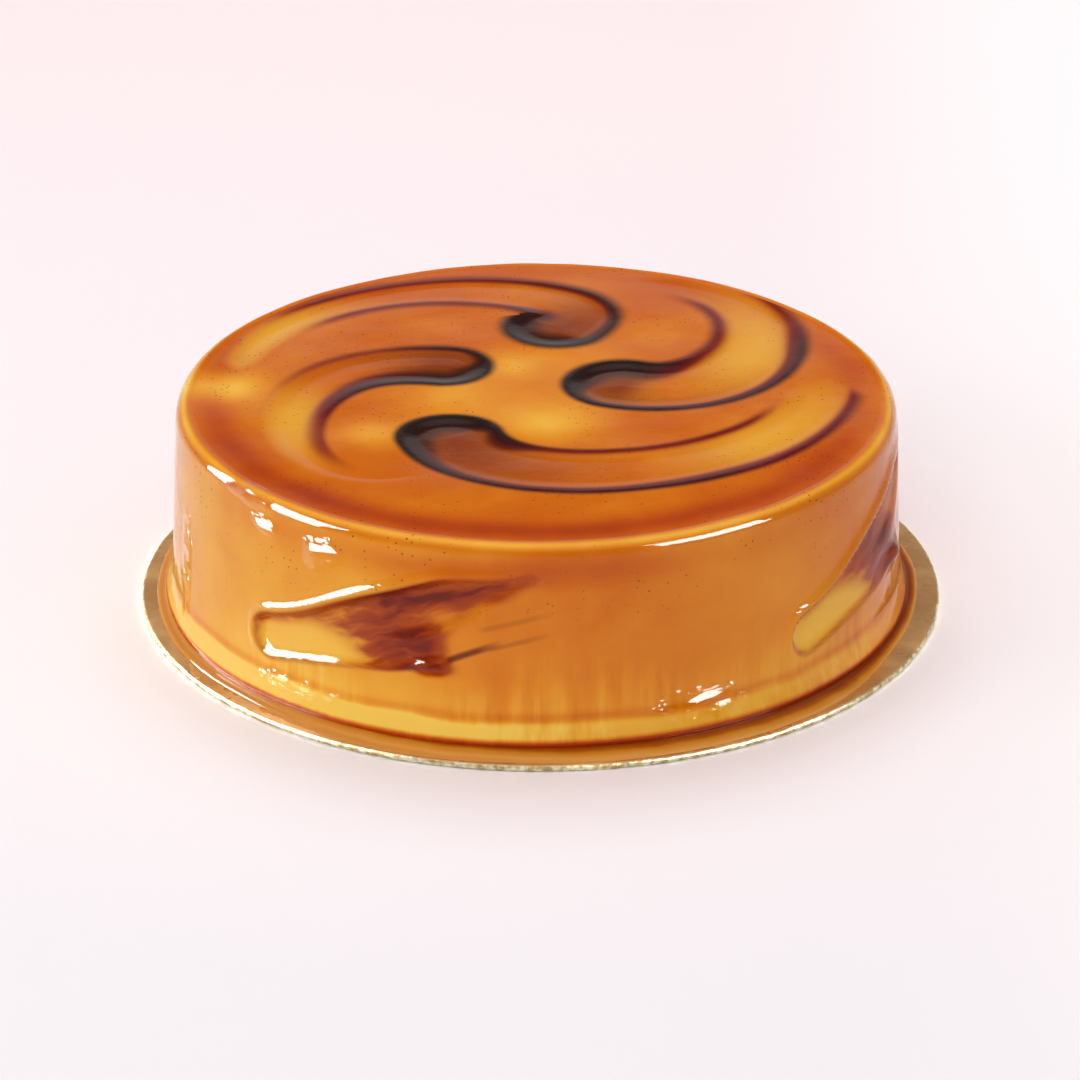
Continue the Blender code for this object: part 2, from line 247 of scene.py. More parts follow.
def gel_fields(gel, inside, across, facing, share):
    """How thick the dark gel lies, and how yellow (+) or brown (-) the swirl's floor is."""
    depth = np.clip(inside, 0.0, None)
    on_left = smoothstep(-0.5, 0.5, across)
    head = bell(share, 0.0, 1.6 * gel.pooled)
    pooled = smoothstep(-0.35, 0.6, facing) * bell(share, 0.0, gel.pooled)
    left = gel.left + (1.0 - gel.left) * (1.0 - smoothstep(gel.pooled, 2.2 * gel.pooled, share))
    left *= 1.0 - smoothstep(gel.left_end - 0.25, gel.left_end, share)
    right = gel.right + (1.0 - gel.right) * (1.0 - smoothstep(gel.black_to - 0.05, gel.black_to + 0.1, share))
    right *= 1.0 - smoothstep(gel.right_end - 0.25, gel.right_end, share)
    left_width = LINE_WIDTH + (gel.left_width - LINE_WIDTH) * smoothstep(gel.pooled, 2.0 * gel.pooled, share)
    right_width = LINE_WIDTH + (gel.right_width - LINE_WIDTH) * bell(share, gel.black_to, 0.16)
    width = right_width + (left_width - right_width) * on_left
    width += (HEAD_LINE_WIDTH - LINE_WIDTH) * head * smoothstep(-0.9, 0.2, facing)
    width += (POOLED_WIDTH - width) * pooled
    thick = (on_left * left + (1.0 - on_left) * right) * np.exp(-((depth / width) ** 2.6))
    halo = (0.34 * head + 0.12 * right * (1.0 - on_left)) * np.exp(-depth / HALO_WIDTH)
    thick = np.maximum(thick, halo) * (1.0 - smoothstep(0.93, 1.0, share))

    crown = 1.0 - np.clip(across, -1.0, 1.0) ** 2
    glow = smoothstep(gel.glow_from, gel.glow_peak, share)
    glow *= 1.0 - smoothstep(gel.glow_peak, gel.glow_end, share)
    brown = bell(share, 0.0, gel.brown_to)
    return thick, glow * crown - brown * np.sqrt(crown)


def swirl_fields(swirl, gel, places):
    """The swirl's height, its cover of older swirls, its (edge, gel, glow), and how near its head each is."""
    path, along = swirl_line(swirl)
    offset, leftward, share = nearest_on(path, along, places)
    distance = np.linalg.norm(offset, axis=1)
    deep = math.radians(swirl.deep_angle)
    facing = (offset @ np.array([math.cos(deep), math.sin(deep)])) / np.maximum(distance, 0.1 * MM)
    half = swirl.head_half + (swirl.tail_half - swirl.head_half) * share**swirl.taper
    inside = half - distance
    fade = 1.0 - smoothstep(*SWIRL_FADE_SHARES, share)
    head = np.exp(-share / SWIRL_HEAD_SHARE) * smoothstep(-0.3, 0.9, facing)
    edge_depth = SWIRL_EDGE_DEPTH + SWIRL_HEAD_DEPTH * head
    floor = SWIRL_DEPTH + edge_depth * np.exp(-np.clip(inside, 0.0, None) / SWIRL_MOAT)
    groove = floor * smoothstep(*SWIRL_WALL, inside)
    cover = smoothstep(*SWIRL_COVER, inside) * fade

    thick, glow = gel_fields(gel, inside, leftward / half, facing, share)
    softness = 1.3 * MM + 1.5 * MM * smoothstep(-20.0 * MM, 90.0 * MM, places[:, 1])
    softness += 1.6 * MM * smoothstep(0.6, 1.0, share)
    edge = inside / softness - 4.0 * smoothstep(0.88, 1.0, share)
    edge = np.where(share < 0.999, edge, OUTSIDE)
    smoky = np.exp(-share / 0.22) * smoothstep(-1.0, 1.0, edge)
    return -fade * groove, cover, np.stack([edge, thick, glow], axis=1), smoky


# ---------------------------------------------------------------- marks on the side


def finger_places(finger, places):
    """How far along a finger's axis each place is (0 to 1), its distance from it, and how far above it."""
    start, end = np.array(finger.start), np.array(finger.end)
    span = end - start
    share = np.clip(((places - start) @ span) / (span @ span), 0.0, 1.0)
    distance = np.linalg.norm(places - start - share[:, None] * span, axis=1)
    above = (places - start) @ np.array([-span[1], span[0]]) / np.linalg.norm(span)
    return share, distance, above


def finger_half(finger, share):
    """Half the finger's width along its length."""
    half = finger.start_half + (finger.middle_half - finger.start_half) * smoothstep(0.0, 0.45, share)
    return half + (finger.end_half - finger.middle_half) * smoothstep(FINGER_TAPER_SHARE, 1.0, share)


def stroke_shade(stroke, places):
    """How strongly a thin line marks each place. It fades towards its end."""
    start, end = np.array(stroke.start), np.array(stroke.end)
    span = end - start
    share = np.clip(((places - start) @ span) / (span @ span), 0.0, 1.0)
    distance = np.linalg.norm(places - start - share[:, None] * span, axis=1)
    return stroke.strength * bell(distance, 0.0, stroke.half) * (1.0 - smoothstep(0.6, 1.0, share))


def mark_shade(along, height, inside, below):
    """How dark the gel in a mark is, and how yellow its floor is. Below is how far under its upper edge."""
    # The gel lies above a border that rises a little, then falls past the mark's lower edge.
    border = 24.0 * MM + 4.0 * MM * smoothstep(2.0 * MM, 22.0 * MM, along)
    fall = 5.5 * MM * smoothstep(26.0 * MM, 44.0 * MM, along)
    border -= fall + 9.0 * MM * smoothstep(42.0 * MM, 54.0 * MM, along)
    softness = 1.4 * MM + 5.0 * MM * smoothstep(12.0 * MM, 34.0 * MM, along)
    brown = smoothstep(-softness, softness, height - border)
    # It darkens along the mark, to a darkest place above the drop, with a thin place beyond that.
    dark = 0.22 + 0.36 * smoothstep(12.0 * MM, 46.0 * MM, along)
    dark += 0.18 * bell(along, 52.0 * MM, 11.0 * MM) * bell(height, 31.0 * MM, 6.0 * MM)
    dark -= 0.42 * bell(along, 60.0 * MM, 7.0 * MM) * bell(height, 37.5 * MM, 3.6 * MM)
    dark -= 0.22 * smoothstep(52.0 * MM, 66.0 * MM, along) * (1.0 - smoothstep(4.0 * MM, 6.0 * MM, below))
    # It ends at a slant, except under the upper edge, where it runs out to the mark's tip.
    beyond = smoothstep(60.0 * MM, 74.0 * MM, along + 0.6 * (below - 9.0 * MM))
    dark *= 1.0 - 0.95 * beyond * smoothstep(5.0 * MM, 10.0 * MM, below)
    outline = 0.30 * bell(inside, 0.6 * MM, 1.3 * MM) * (1.0 - smoothstep(48.0 * MM, 62.0 * MM, along))
    return brown * dark + outline, (1.0 - brown) * smoothstep(0.5 * MM, 3.0 * MM, inside)


def mark_fields(places):
    """One mark's push on the wall, out (+) or in (-), and its (edge, gel, glow)."""
    along, height = places[:, 0], places[:, 1]
    upper_share, upper_distance, above = finger_places(UPPER_FINGER, places)
    lower_share, lower_distance, _ = finger_places(LOWER_FINGER, places)
    upper = finger_half(UPPER_FINGER, upper_share) - upper_distance
    lower = finger_half(LOWER_FINGER, lower_share) - lower_distance
    near = np.clip(1.0 - np.abs(upper - lower) / FINGER_BLEND, 0.0, 1.0)
    inside = np.maximum(upper, lower) + 0.25 * FINGER_BLEND * near**2

    high = smoothstep(-12.0 * MM, 4.0 * MM, height - 0.32 * along - 24.0 * MM)
    scoop = MARK_DEPTH * (0.3 + 0.7 * high) * smoothstep(0.0, MARK_WALL * (1.6 - 0.6 * high), inside)
    lip = (MARK_LIP + MARK_UPPER_LIP * high) * bell(inside, -0.4 * MARK_LIP_WIDTH, MARK_LIP_WIDTH)
    fade = 1.0 - 0.75 * smoothstep(45.0 * MM, 84.0 * MM, along)
    from_drop = places - np.array(DROP_PLACE)
    drop_reach = np.hypot(from_drop[:, 0] / DROP_HALF_LENGTH, from_drop[:, 1] / DROP_HALF_HEIGHT)
    drop = bell(drop_reach, 0.0, 1.0)
    push = fade * (lip - scoop) + DROP_BULGE * drop

    below = finger_half(UPPER_FINGER, upper_share) - above
    gel, glow = mark_shade(along, height, inside, below)
    gel = np.maximum(gel + stroke_shade(STREAK, places), 0.95 * drop)
    softness = 2.2 * MM * smoothstep(58.0 * MM, 80.0 * MM, along) * smoothstep(2.0 * MM, 8.0 * MM, below)
    softness += 0.7 * MM
    reach = np.maximum(inside + 0.4 * MM, 2.0 * MM * (1.25 - drop_reach))
    return push, np.stack([reach / softness, np.clip(gel, 0.0, 1.0), glow], axis=1)


def side_fields(angle, height):
    """All the side marks, one to a quarter of the cake."""
    pitch = 2.0 * math.pi / MARK_COUNT
    start = math.radians(MARK_START_ANGLE)
    turned = np.mod(angle - start + MARK_HEADROOM, pitch) - MARK_HEADROOM
    places = np.stack([turned * WALL_FOOT_RADIUS, height], axis=1)
    push, look = mark_fields(places)
    top = CAKE_TOP_Z - RIM_ROUND
    kept = 1.0 - smoothstep(top - MARK_FADE, top, height)
    kept *= smoothstep(FOOT_TOP_Z, FOOT_TOP_Z + MARK_FADE, height)
    return push * kept, look, np.pad(places, ((0, 0), (0, 1)))


# ---------------------------------------------------------------- meshes


def arc(centre, radius, from_degrees, to_degrees, steps):
    """Points (radius, height) along an arc, both ends included."""
    angles = [math.radians(from_degrees + (to_degrees - from_degrees) * i / steps) for i in range(steps + 1)]
    return [(centre[0] + radius * math.cos(a), centre[1] + radius * math.sin(a)) for a in angles]


def line(start, end, spacing):
    """Points from start up to but not including end, about spacing apart."""
    steps = max(1, round(math.dist(start, end) / spacing))
    return [tuple(a + (b - a) * i / steps for a, b in zip(start, end)) for i in range(steps)]


def circle(steps):
    """Angles round a full turn, and the unit vectors that they stand for."""
    angle = np.linspace(-math.pi, math.pi, steps, endpoint=False)
    return angle, np.stack([np.cos(angle), np.sin(angle)], axis=1)


def turned_mesh(name, rings, closed):
    """A mesh of rings of points, listed down its outside. A closed one joins its last ring to its first."""
    count, steps = len(rings), len(rings[0])
    points = np.concatenate(rings).tolist()
    down, around = np.meshgrid(np.arange(count if closed else count - 1), np.arange(steps), indexing="ij")
    below = (down + 1) % count
    beside = (around + 1) % steps
    corners = [down * steps + around, below * steps + around, below * steps + beside, down * steps + beside]
    faces = np.stack([corner.ravel() for corner in corners], axis=1).tolist()
    if not closed:
        top, bottom = len(points), len(points) + 1
        points += [rings[0].mean(axis=0).tolist(), rings[-1].mean(axis=0).tolist()]
        last = (count - 1) * steps
        faces += [[top, i, (i + 1) % steps] for i in range(steps)]
        faces += [[bottom, last + (i + 1) % steps, last + i] for i in range(steps)]
    mesh = bpy.data.meshes.new(name)
    mesh.from_pydata(points, [], faces)
    mesh.shade_smooth()
    return mesh


def add_field(mesh, name, values):
    """Stores one number or one vector for each point. The end caps' middles take their rings' means."""
    steps = CAKE_TURN_STEPS
    if len(values) == len(mesh.vertices) - 2:
        values = np.concatenate([values, [values[:steps].mean(axis=0)], [values[-steps:].mean(axis=0)]])
    kind, key = ("FLOAT", "value") if values.ndim == 1 else ("FLOAT_VECTOR", "vector")
    field = mesh.attributes.new(name, kind, "POINT")
    field.data.foreach_set(key, values.astype(np.float32).ravel())


def add_piece(mesh, place, material, slot, *nodes):
    """Puts a mesh in the scene as a piece that rides on the cake's body and stands for CAD nodes."""
    piece = bpy.data.objects.new(mesh.name, mesh)
    piece.location = place
    bpy.context.scene.collection.objects.link(piece)
    mesh.materials.append(material)
    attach(piece, "root")
    if nodes:
        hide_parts(*nodes)
    return piece


def cake_profile():
    """(radius, height) down the outside of the cake, from just off the middle of its top to its base."""
    rim_centre = (WALL_TOP_RADIUS - RIM_ROUND, CAKE_TOP_Z - RIM_ROUND)
    points = line((RING_SPACING, CAKE_TOP_Z), (rim_centre[0], CAKE_TOP_Z), RING_SPACING)
    points += arc(rim_centre, RIM_ROUND, 90, 0, 9)[:-1]
    bead = arc(BEAD_CENTRE, FOOT_BEAD, FOOT_LEAN, -60, 7)
    points += line((WALL_TOP_RADIUS, rim_centre[1]), (WALL_FOOT_RADIUS, FOOT_TOP_Z), RING_SPACING)
    points += line((WALL_FOOT_RADIUS, FOOT_TOP_Z), bead[0], 0.8 * RING_SPACING)
    points += bead
    points += [(points[-1][0] - 0.2 * MM, CAKE_BASE_Z), (0.9 * FOOT_RADIUS, CAKE_BASE_Z)]
    return np.array(points)


def side_tone(degrees, height, points):
    """How light the wall's glaze looks, from 0, thick and deep orange, to 1, thin and yellow.

    The front is 0 degrees. The left is lighter than the right, which is painted light from the left,
    and the foot is yellow between two dark lines. The foot's yellow is partly painted highlight on its left,
    and the lower dark line is partly painted shade in the crease at the base.
    """
    # Lighter on the left than on the right: painted light from the left side.
    tone = 0.49 + 0.22 * np.cos(np.radians(degrees + 66.0)) + 0.08 * wander(points, 32.0 * MM, 3)
    tone += 0.13 * smoothstep(14.0, 40.0, degrees) * (1.0 - smoothstep(110.0, 175.0, degrees))
    tone -= 0.08 * bell(degrees, 4.0, 16.0)
    tone += 0.13 * (1.0 - smoothstep(12.0 * MM, 26.0 * MM, height))
    tone -= (0.03 + 0.19 * bell(degrees, -8.0, 26.0)) * bell(height, 53.0 * MM, 4.0 * MM)
    wavy = height + 0.8 * MM * wander(points, 14.0 * MM, 7)
    tone -= 0.16 * bell(wavy, 11.0 * MM, 1.3 * MM)
    # The foot's yellow band is lighter on the left: partly painted highlight and light from the left.
    foot = 0.28 - 0.22 * np.sin(np.radians(degrees))
    tone += foot * smoothstep(4.6 * MM, 5.6 * MM, height) * (1.0 - smoothstep(8.6 * MM, 10.2 * MM, wavy))
    # Dark at the very base: the glaze's own colour and painted shade in the crease on the pool.
    tone -= 0.7 * (1.0 - smoothstep(3.9 * MM, 5.0 * MM, height))
    return tone


def lumpiness(degrees, height, points):
    """How lumpy the glaze is at each place, from 0 to 1."""
    ragged = 0.35 * wander(points, 4.0 * MM, 31)
    lumpy = np.zeros(len(points))
    for spot in LUMPY_PLACES:
        across = (degrees - spot.degrees) / spot.half_degrees
        up = (height - spot.height) / spot.half_height
        lumpy = np.maximum(lumpy, 1.0 - smoothstep(0.7, 1.1, np.hypot(across, up) + ragged))
    radius = np.linalg.norm(points[:, :2], axis=1)
    return lumpy * smoothstep(0.95 * WALL_TOP_RADIUS, 0.97 * WALL_TOP_RADIUS, radius)


def top_tone(radius, degrees, points):
    """How light the top's glaze looks: light in the middle and on the rim, deep in a ring inside the rim."""
    tone = 0.38 + 0.16 * (1.0 - smoothstep(18.0 * MM, 52.0 * MM, radius))
    tone += 0.10 * wander(points, 26.0 * MM, 5)
    ring = 0.20 + 0.12 * np.cos(np.radians(degrees + 20.0))
    tone -= ring * bell(radius, 91.0 * MM, 5.5 * MM)
    tone += 0.42 * bell(radius, WALL_TOP_RADIUS - 2.0 * MM, 1.1 * MM)
    for patch in PATCHES:
        away = np.hypot(points[:, 0] - patch.x * MM, points[:, 1] - patch.y * MM)
        tone += patch.strength * bell(away, 0.0, patch.reach)
    return tone


def build_cake(material):
    """The glazed cake, with the swirls, marks, rim and slight waves in its surface."""
    profile = cake_profile()
    slope = np.gradient(profile, axis=0)
    outward = np.stack([-slope[:, 1], slope[:, 0]], axis=1)
    outward /= np.linalg.norm(outward, axis=1, keepdims=True)
    angle, around = circle(CAKE_TURN_STEPS)

    radius, height = np.repeat(profile, CAKE_TURN_STEPS, axis=0).T
    normal_out, normal_up = np.repeat(outward, CAKE_TURN_STEPS, axis=0).T
    turn = np.tile(angle, len(profile))
    way = np.tile(around, (len(profile), 1))
    points = np.concatenate([way * radius[:, None], height[:, None]], axis=1)
    on_top = height > CAKE_TOP_Z - 0.01 * MM
    on_wall = ~on_top & (normal_up < 0.3) & (height > FOOT_TOP_Z)
    on_base = height < CAKE_BASE_Z + 0.01 * MM

    lift = np.zeros(len(points))
    smoky = np.zeros(len(points))
    layers = {}
    for number, (swirl, gel) in enumerate(zip(SWIRLS, GELS)):
        look = np.tile([OUTSIDE, 0.0, 0.0], (len(points), 1))
        rise, cover, look[on_top], near_head = swirl_fields(swirl, gel, points[on_top, :2])
        lift[on_top] = lift[on_top] * (1.0 - cover) + rise
        smoky[on_top] = np.maximum(smoky[on_top], near_head)
        layers[f"swirl_{number}"] = look
    layers["smoky"] = smoky
    shoulder = smoothstep(SHOULDER_RADIUS, WALL_TOP_RADIUS - RIM_ROUND, radius)
    lift -= np.where(on_top, SHOULDER_DROP, 0.0) * shoulder * (1.0 - smoothstep(0.0, 0.4, 1.0 - normal_up))
    push, mark_look, layers["mark_place"] = side_fields(turn, height)
    lift += np.where(on_wall, push, 0.0)
    mark_look[:, 0] = np.where(on_wall, mark_look[:, 0], OUTSIDE)
    layers["mark"] = mark_look
    waves = 0.20 * MM * wander(points, 24.0 * MM, 1)
    waves += np.where(on_top, 0.03, 0.08) * MM * wander(points, 9.0 * MM, 2)
    lift += np.where(on_base, 0.0, waves)

    degrees = np.degrees(np.arctan2(points[:, 0], -points[:, 1]))
    topward = smoothstep(0.1, 0.7, normal_up) * (height > 0.5 * CAKE_TOP_Z)
    tone = side_tone(degrees, height, points)
    tone += topward * (top_tone(radius, degrees, points) - tone)
    layers["lumpy"] = lumpiness(degrees, height, points)

    points[:, :2] += way * (lift * normal_out)[:, None]
    points[:, 2] += lift * normal_up
    mesh = turned_mesh("caramel_cake", points.reshape(len(profile), CAKE_TURN_STEPS, 3), closed=False)
    add_field(mesh, "tone", tone)
    for name, look in layers.items():
        add_field(mesh, name, look)
    return add_piece(mesh, CAKE_CENTRE, material, "caramel_glaze", "glazed_cake")


def pool_reach(angle):
    """The pool's outer radius: near the card's edge in front and behind, and short of it at the sides."""
    front = 0.5 + 0.5 * np.cos(2.0 * (angle + math.pi / 2.0) - 0.35)
    ripple = 0.5 * np.sin(5.0 * angle + 1.0) + 0.35 * np.sin(9.0 * angle + 0.4) + 0.15 * np.sin(16.0 * angle)
    reach = POOL_NARROWEST + (POOL_WIDEST - POOL_NARROWEST) * smoothstep(0.25, 0.75, front)
    return np.minimum(reach + 0.5 * MM * ripple, POOL_WIDEST)


def build_pool(material):
    """The ring of glaze that set on the card: thickest at the cake's foot, with a rounded wet edge."""
    angle, around = circle(POOL_TURN_STEPS)
    inner = FOOT_RADIUS - 1.0 * MM
    reach = pool_reach(angle)
    edge = POOL_EDGE_SHARE
    bend = 1.0 - edge * np.cos(np.linspace(0.2, 0.5 * math.pi, 8))
    shares = np.concatenate([np.linspace(0.0, 1.0 - edge, 9), bend])
    round_edge = np.clip((shares - 1.0 + edge) / edge, 0.0, 1.0)
    drops = (1.0 - 0.35 * smoothstep(0.1, 0.45, shares)) * np.sqrt(1.0 - round_edge**2)
    rings = []
    for share, drop in zip(shares, drops):
        flat = around * (inner + share * (reach - inner))[:, None]
        swell = 1.0 + 0.10 * wander(np.pad(flat, ((0, 0), (0, 1))), 11.0 * MM, 8)
        height = CARD_TOP_Z + (POOL_TOP_Z - CARD_TOP_Z) * drop * swell
        rings.append(np.concatenate([flat, height[:, None]], axis=1))
    for radius in (reach, np.full(POOL_TURN_STEPS, inner)):
        height = np.full((POOL_TURN_STEPS, 1), CARD_TOP_Z)
        rings.append(np.concatenate([around * radius[:, None], height], axis=1))
    mesh = turned_mesh("pooled_glaze", rings, closed=True)
    add_field(mesh, "across", np.repeat([*shares, 1.0, 0.0], POOL_TURN_STEPS))
    return add_piece(mesh, CAKE_CENTRE, material, "caramel_glaze", "glaze_pool")


def build_card(foil, board):
    """The card under gold foil, crinkled at its edge and folded under it, with plain board below."""
    _, around = circle(CARD_TURN_STEPS)
    half = 0.5 * CARD_TOP_Z
    fold_radius = 0.85 * CARD_RADIUS
    profile = line((2.0 * MM, CARD_TOP_Z), (CARD_RADIUS - half, CARD_TOP_Z), 3.0 * MM)
    profile += arc((CARD_RADIUS - half, half), half, 90, -90, 12)
    below = (CARD_RADIUS - 6.0 * MM, fold_radius + 0.5 * MM, fold_radius, 2.0 * MM)
    profile += [(radius, 0.0) for radius in below]
    rings = []
    for radius, height in profile:
        flat = around * radius
        places = np.concatenate([flat, np.full((CARD_TURN_STEPS, 1), height)], axis=1)
        at_edge = smoothstep(CARD_RADIUS - 2.2 * MM, CARD_RADIUS - 0.3 * MM, radius)
        crinkle = 0.35 + 0.5 * wander(places, 2.6 * MM, 11) + 0.4 * wander(places, 6.5 * MM, 12)
        inward = 0.35 * MM * at_edge * np.clip(crinkle, 0.0, 1.0)
        near_edge = smoothstep(CARD_RADIUS - 9.0 * MM, CARD_RADIUS, radius) * (height > half)
        sink = 0.15 * MM * near_edge * np.abs(wander(places, 4.0 * MM, 13))
        flat = around * (radius - inward)[:, None]
        rings.append(np.concatenate([flat, (height - sink)[:, None]], axis=1))
    mesh = turned_mesh("foil_card", rings, closed=False)
    card = add_piece(mesh, (0.0, 0.0, 0.0), foil, "gold_foil", "cake_card")
    mesh.materials.append(board)
    for face in mesh.polygons:
        if face.normal.z < -0.9 and math.hypot(face.center.x, face.center.y) < fold_radius + 0.2 * MM:
            face.material_index = 1
    return card


# ---------------------------------------------------------------- materials


class Nodes:
    """A material's node tree, with short calls for the nodes that are used here."""

    def __init__(self, name):
        self.material = bpy.data.materials.new(name)
        self.material.use_nodes = True
        self.tree = self.material.node_tree
        self.shader = self.tree.nodes["Principled BSDF"]

    def put(self, socket, value):
        """Links an output to a socket, or sets the socket to a value."""
        if isinstance(value, bpy.types.NodeSocket):
            self.tree.links.new(value, socket)
        else:
            socket.default_value = value

    def set(self, **values):
        """Sets or links the shader's own sockets, named with _ for a space."""
        for name, value in values.items():
            self.put(self.shader.inputs[name.replace("_", " ")], value)

    def field(self, name):
        node = self.tree.nodes.new("ShaderNodeAttribute")
        node.attribute_name = name
        return node

    def axes(self, vector):
        node = self.tree.nodes.new("ShaderNodeSeparateXYZ")
        self.put(node.inputs[0], vector)
        return node.outputs

    def place(self, scale=(1.0, 1.0, 1.0)):
        """The point's position in the object, in metres, stretched by a scale."""
        where = self.tree.nodes.new("ShaderNodeTexCoord")
        node = self.tree.nodes.new("ShaderNodeMapping")
        self.put(node.inputs["Vector"], where.outputs["Object"])
        node.inputs["Scale"].default_value = scale
        return node.outputs[0]

    def math(self, operation, first, second):
        node = self.tree.nodes.new("ShaderNodeMath")
        node.operation = operation
        self.put(node.inputs[0], first)
        self.put(node.inputs[1], second)
        return node.outputs[0]

    def add(self, *values):
        total = values[0]
        for value in values[1:]:
            total = self.math("ADD", total, value)
        return total

    def times(self, *values):
        total = values[0]
        for value in values[1:]:
            total = self.math("MULTIPLY", total, value)
        return total

    def swing(self, value, width):
        """A 0 to 1 value moved to swing width either way of 0."""
        return self.times(self.math("SUBTRACT", value, 0.5), 2.0 * width)

    def smooth(self, value, low, high, to_low=0.0, to_high=1.0):
        """A smooth step from to_low at low to to_high at high."""
        node = self.tree.nodes.new("ShaderNodeMapRange")
        node.interpolation_type = "SMOOTHSTEP"
        for socket, number in zip(node.inputs, (value, low, high, to_low, to_high)):
            self.put(socket, number)
        return node.outputs[0]

    def mix(self, share, first, second):
        node = self.tree.nodes.new("ShaderNodeMix")
        node.data_type = "RGBA"
        share_socket, first_socket, second_socket, mixed = 0, 6, 7, 2  # where a colour mix has them
        self.put(node.inputs[share_socket], share)
        self.put(node.inputs[first_socket], first)
        self.put(node.inputs[second_socket], second)
        return node.outputs[mixed]

    def ramp(self, share, *stops):
        """A colour for each share, from (share, colour) stops."""
        node = self.tree.nodes.new("ShaderNodeValToRGB")
        marks = node.color_ramp.elements
        while len(marks) < len(stops):
            marks.new(0.5)
        for mark, (at, colour) in zip(marks, stops):
            mark.position = at
            mark.color = colour
        self.put(node.inputs[0], share)
        return node.outputs[0]

    def noise(self, vector, scale, detail=2.0):
        node = self.tree.nodes.new("ShaderNodeTexNoise")
        self.put(node.inputs["Vector"], vector)
        node.inputs["Scale"].default_value = scale
        node.inputs["Detail"].default_value = detail
        return node.outputs["Fac"]

    def vector(self, operation, first, second):
        """A vector calculation. A product of two vectors that is one number comes out as that number."""
        node = self.tree.nodes.new("ShaderNodeVectorMath")
        node.operation = operation
        self.put(node.inputs[0], first)
        self.put(node.inputs[1], second)
        return node.outputs["Value" if operation == "DOT_PRODUCT" else "Vector"]

    def stretch(self, vector, scale, turn):
        """A vector turned about Z and then stretched."""
        node = self.tree.nodes.new("ShaderNodeMapping")
        node.vector_type = "TEXTURE"
        self.put(node.inputs["Vector"], vector)
        node.inputs["Rotation"].default_value = (0.0, 0.0, -turn)
        node.inputs["Scale"].default_value = [1.0 / share for share in scale]
        return node.outputs[0]

    def join(self, x, y, z):
        node = self.tree.nodes.new("ShaderNodeCombineXYZ")
        for socket, value in zip(node.inputs, (x, y, z)):
            self.put(socket, value)
        return node.outputs[0]

    def cells(self, vector, scale):
        """Distance to the nearest of some scattered points, and a colour that is each point's own."""
        node = self.tree.nodes.new("ShaderNodeTexVoronoi")
        self.put(node.inputs["Vector"], vector)
        node.inputs["Scale"].default_value = scale
        return node.outputs["Distance"], node.outputs["Color"]

    def bump(self, height, depth):
        node = self.tree.nodes.new("ShaderNodeBump")
        node.inputs["Distance"].default_value = depth
        self.put(node.inputs["Height"], height)
        return node.outputs[0]


# Colours of the glaze by its tone, of the gel by its darkness near the swirls' heads (smoky), along their
# lines and in the marks, and of the floors.
GLAZE_STOPS = (
    (0.0, glazed(166, 64, 18)),
    (0.2, glazed(192, 86, 26)),
    (0.4, glazed(208, 110, 36)),
    (0.6, glazed(226, 142, 48)),
    (0.8, glazed(238, 174, 64)),
    (1.0, glazed(246, 206, 96)),
)
SMOKY_STOPS = (
    (0.0, glazed(150, 84, 44)),
    (0.35, glazed(120, 62, 36)),
    (0.6, glazed(82, 48, 34)),
    (0.85, glazed(56, 36, 26)),
    (1.0, linear(32, 17, 10)),
)
LINE_STOPS = (
    (0.0, glazed(176, 84, 32)),
    (0.35, glazed(146, 54, 18)),
    (0.6, glazed(112, 32, 12)),
    (0.85, glazed(92, 22, 8)),
    (1.0, linear(62, 14, 6)),
)
MARK_STOPS = (
    (0.0, glazed(204, 112, 38)),
    (0.35, glazed(178, 82, 26)),
    (0.6, glazed(160, 70, 18)),
    (0.8, glazed(132, 52, 12)),
    (1.0, linear(84, 27, 8)),
)
BROWN_FLOOR = glazed(134, 60, 26)
YELLOW_FLOOR = glazed(232, 170, 62)
MARK_YELLOW_FLOOR = glazed(242, 190, 76)
CREASE_COLOUR = glazed(96, 26, 10)
SPECK_COLOUR = linear(80, 30, 12)


def glaze_finish(nodes, colour, streaks, lumps=0.0):
    """A clear wet coat over the coloured glaze. The coat is smoother than what lies under it."""
    ripples = nodes.noise(nodes.place(), 240.0, detail=1.0)
    grain = nodes.noise(nodes.place(), 900.0, detail=1.0)
    under = nodes.add(streaks, nodes.times(ripples, 0.35))
    nodes.set(
        Base_Color=colour,
        Roughness=0.36,
        Specular_IOR_Level=0.0,
        Coat_Weight=1.0,
        Coat_Roughness=0.02,
        Coat_IOR=1.33,
        Normal=nodes.bump(under, 0.30 * MM),
        Coat_Normal=nodes.bump(nodes.add(under, nodes.times(grain, 0.14), lumps), 0.10 * MM),
    )


def lay(nodes, below, look, ramp, brown, yellow):
    """Lays a swirl or mark over the colour below, by its (edge, gel, glow). The ramp call colours the gel."""
    edge, gel, glow = nodes.axes(look)
    bright = nodes.times(nodes.math("MAXIMUM", glow, 0.0), 0.92)
    dull = nodes.times(nodes.math("MINIMUM", glow, 0.0), -0.95)
    inner = nodes.mix(dull, nodes.mix(bright, below, yellow), brown)
    dark = nodes.mix(nodes.smooth(gel, 0.0, 0.5), inner, ramp(gel))
    return nodes.mix(nodes.smooth(edge, -1.0, 1.0), below, dark)


def along_stroke(nodes, place, stroke):
    """How strongly a thin crease marks the wall. It is drawn here, being finer than the cake's points."""
    start, end = Vector(stroke.start), Vector(stroke.end)
    span = end - start
    from_start = nodes.vector("SUBTRACT", place, (*start, 0.0))
    share = nodes.vector("DOT_PRODUCT", from_start, (*(span / span.length_squared), 0.0))
    across = nodes.vector("DOT_PRODUCT", from_start, (*(span.orthogonal() / span.length), 0.0))
    across = nodes.math("ABSOLUTE", nodes.add(across, nodes.times(nodes.swing(share, 1.0), 0.4 * MM)), 0.0)
    ends = nodes.times(nodes.smooth(share, -0.04, 0.1), nodes.smooth(share, 0.45, 1.0, 1.0, 0.0))
    return nodes.times(nodes.smooth(across, 0.3 * stroke.half, 1.6 * stroke.half, stroke.strength, 0.0), ends)


